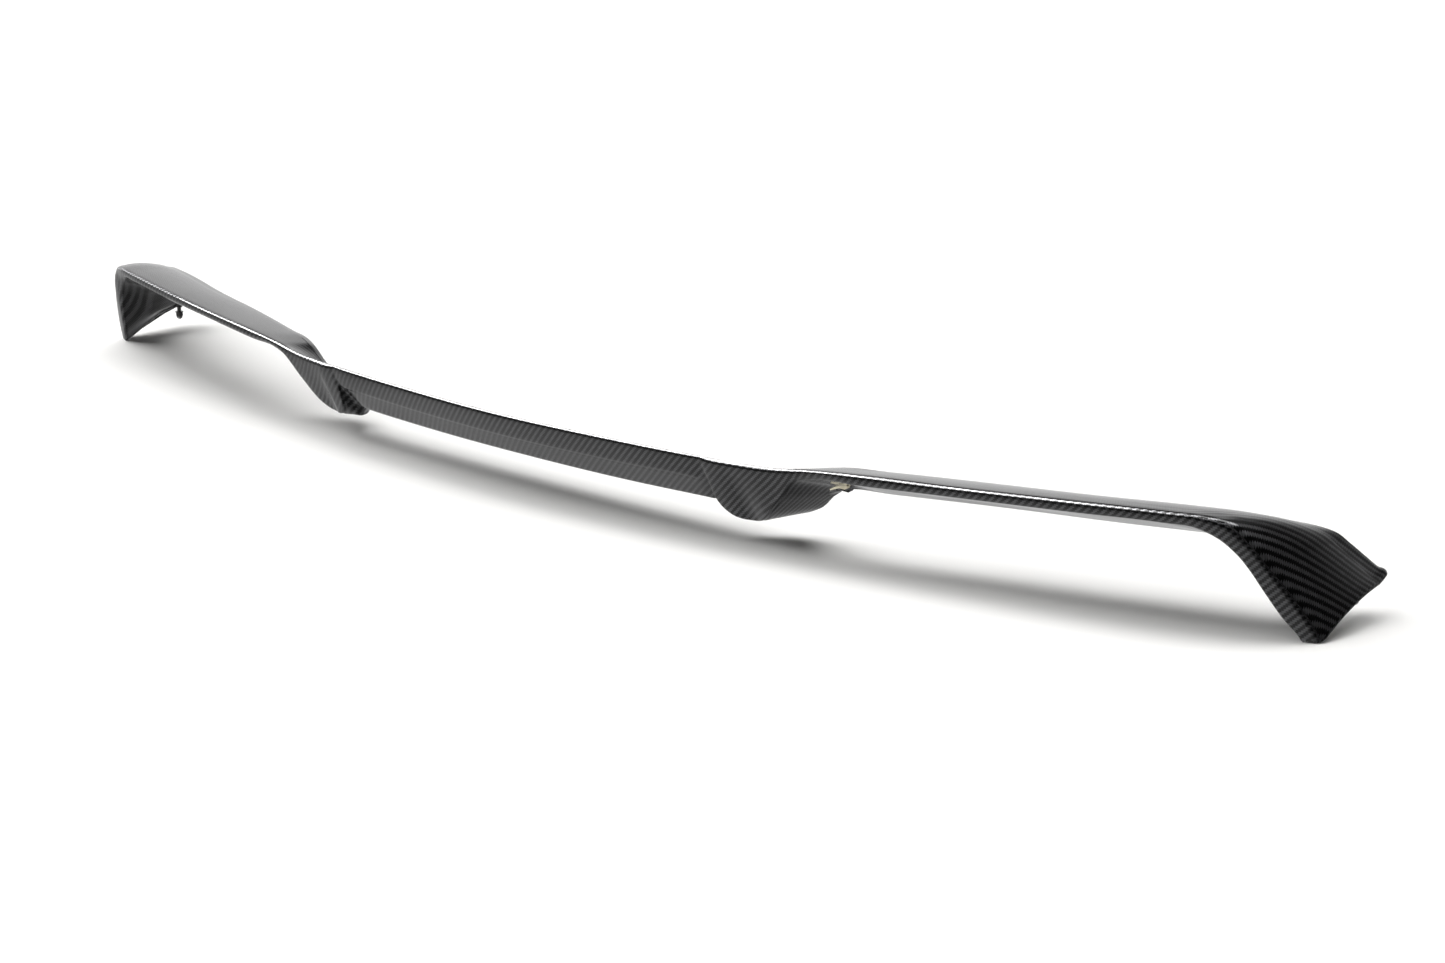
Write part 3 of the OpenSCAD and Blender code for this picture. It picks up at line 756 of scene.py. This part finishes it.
shell("top_and_edges", rows(0, ROWS - 1), all_columns, UPPER_CLOTH, ["upper_skin"])
shell("underside_centre", rows(ROWS - 1 - leg_in, leg_in), low_columns, LOWER_CLOTH,
      ["lower_skin_centre"])
for side, word in ((-1, "left"), (1, "right")):
    shell("underside_" + word, rows(leg_out, foot, side), low_columns, LOWER_CLOTH,
          ["lower_skin_" + word])
    hole_at = np.array([side * INSERT_AT[0], INSERT_AT[1], INSERT_AT[2]]) * MM
    shell("leg_" + word, rows(leg_in, leg_out, side), low_columns, LOWER_CLOTH,
          ["leg_shell_" + word], (hole_at, INSERT_R * MM))
    sole("foot_base_" + word, side, ["foot_sole_" + word])
    fasteners(side, word)

plug("foam_centre", rows(ROWS - 1 - leg_in, leg_in), ["core_centre"])
for side, word in ((-1, "left"), (1, "right")):
    plug("foam_leg_" + word, rows(leg_in, leg_out, side), ["core_leg_" + word])
    plug("foam_" + word, rows(leg_out, foot, side), ["core_" + word])

for name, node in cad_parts.items():
    kind = "aluminium" if "plate" in name else None
    if kind:
        node.data.materials.clear()
        node.data.materials.append(MATERIALS[kind])


# ---------------------------------------------------------------- studio
def floor_material():
    n = Nodes("studio_floor")
    at = n.node("ShaderNodeTexCoord", out=3)
    colour = n.between(n.noise(at, 3.0), (0.87, 0.865, 0.85, 1), (0.88, 0.875, 0.86, 1))
    n.set(Base_Color=colour, Roughness=0.6, Specular_IOR_Level=0.2)
    return n.material


def studio_light(name, towards, spread, strength, only_gloss=False):
    """A large, distant soft light in a direction, as wide as an angle in degrees. only_gloss makes it
    a strip that shows in the gloss but lights nothing."""
    data = bpy.data.lights.new(name, "SUN")
    data.angle, data.energy = math.radians(spread), strength
    made = bpy.data.objects.new(name, data)
    made.rotation_euler = Vector(towards).to_track_quat("Z", "Y").to_euler()
    made.visible_diffuse = not only_gloss
    bpy.context.scene.collection.objects.link(made)


floor_mesh = bpy.data.meshes.new("floor")
around = ((-1, -1), (1, -1), (1, 1), (-1, 1))
floor_mesh.from_pydata([(x * FLOOR_REACH, y * FLOOR_REACH, 0) for x, y in around], [], [(0, 1, 2, 3)])
floor_mesh.materials.append(floor_material())
floor = bpy.data.objects.new("floor", floor_mesh)
bpy.context.scene.collection.objects.link(floor)
floor.visible_glossy = False      # what the gloss shows is set by the studio's surroundings

world = bpy.data.worlds.new("studio")
bpy.context.scene.world = world
world.use_nodes = True
tree = world.node_tree


def world_node(kind, *inputs, **settings):
    made = tree.nodes.new(kind)
    for key, value in settings.items():
        setattr(made, key, value)
    for i, value in enumerate(inputs):
        if isinstance(value, bpy.types.NodeSocket):
            tree.links.new(value, made.inputs[i])
        elif value is not None:
            made.inputs[i].default_value = value
    return made.outputs


def ramp(value, low, high, to_low, to_high):
    """A value ramped from one range to another, softly at both ends."""
    return world_node("ShaderNodeMapRange", value, low, high, to_low, to_high,
                      interpolation_type="SMOOTHSTEP")[0]


def combine(operation, a, b):
    return world_node("ShaderNodeMath", a, b, operation=operation)[0]


look = tree.nodes.new("ShaderNodeTexCoord").outputs["Generated"]
facing = world_node("ShaderNodeVectorMath", look, BACKDROP_TOWARDS, operation="DOT_PRODUCT")["Value"]
height = world_node("ShaderNodeSeparateXYZ", look)["Z"]
behind = world_node("ShaderNodeVectorMath", look, LIT_FLOOR_TOWARDS, operation="DOT_PRODUCT")["Value"]
backdrop = combine("MULTIPLY", ramp(facing, BACKDROP_FROM, BACKDROP_TO, 0.0, BACKDROP_LEVEL),
                   ramp(height, 0.35, 0.6, 1.0, 0.0))
backdrop = combine("MULTIPLY", backdrop, ramp(height, -0.75, -0.1, 0.35, 1.0))
lit_floor = combine("MULTIPLY", ramp(behind, 0.4, 0.85, 0.0, LIT_FLOOR_LEVEL),
                    ramp(height, -0.65, -0.4, 1.0, 0.0))
glow = combine("ADD", backdrop, lit_floor)
glow = combine("ADD", glow, ramp(height, -0.6, -0.15, 0.1, STUDIO_GLOOM))
tree.links.new(glow, tree.nodes["Background"].inputs["Strength"])
tree.nodes["Background"].inputs["Color"].default_value = (1.0, 1.0, 1.0, 1.0)

studio_light("left", (-0.45, -0.35, 0.82), 60, 3.0)
studio_light("overhead", (0.1, 0.2, 1.0), 40, 1.6)
studio_light("strip", (-0.65, -0.27, 0.70), 46, 7.5, only_gloss=True)

camera_data = bpy.data.cameras.new("camera")
camera_data.sensor_width, camera_data.lens = CAMERA_SENSOR, CAMERA_LENS
camera_data.clip_end = 60.0
camera = bpy.data.objects.new("camera", camera_data)
camera.location = CAMERA_AT
camera.rotation_euler = (math.radians(CAMERA_TILT), 0.0, math.radians(CAMERA_TURN))
bpy.context.scene.collection.objects.link(camera)
bpy.context.scene.camera = camera
bpy.context.scene.view_settings.view_transform = "Standard"
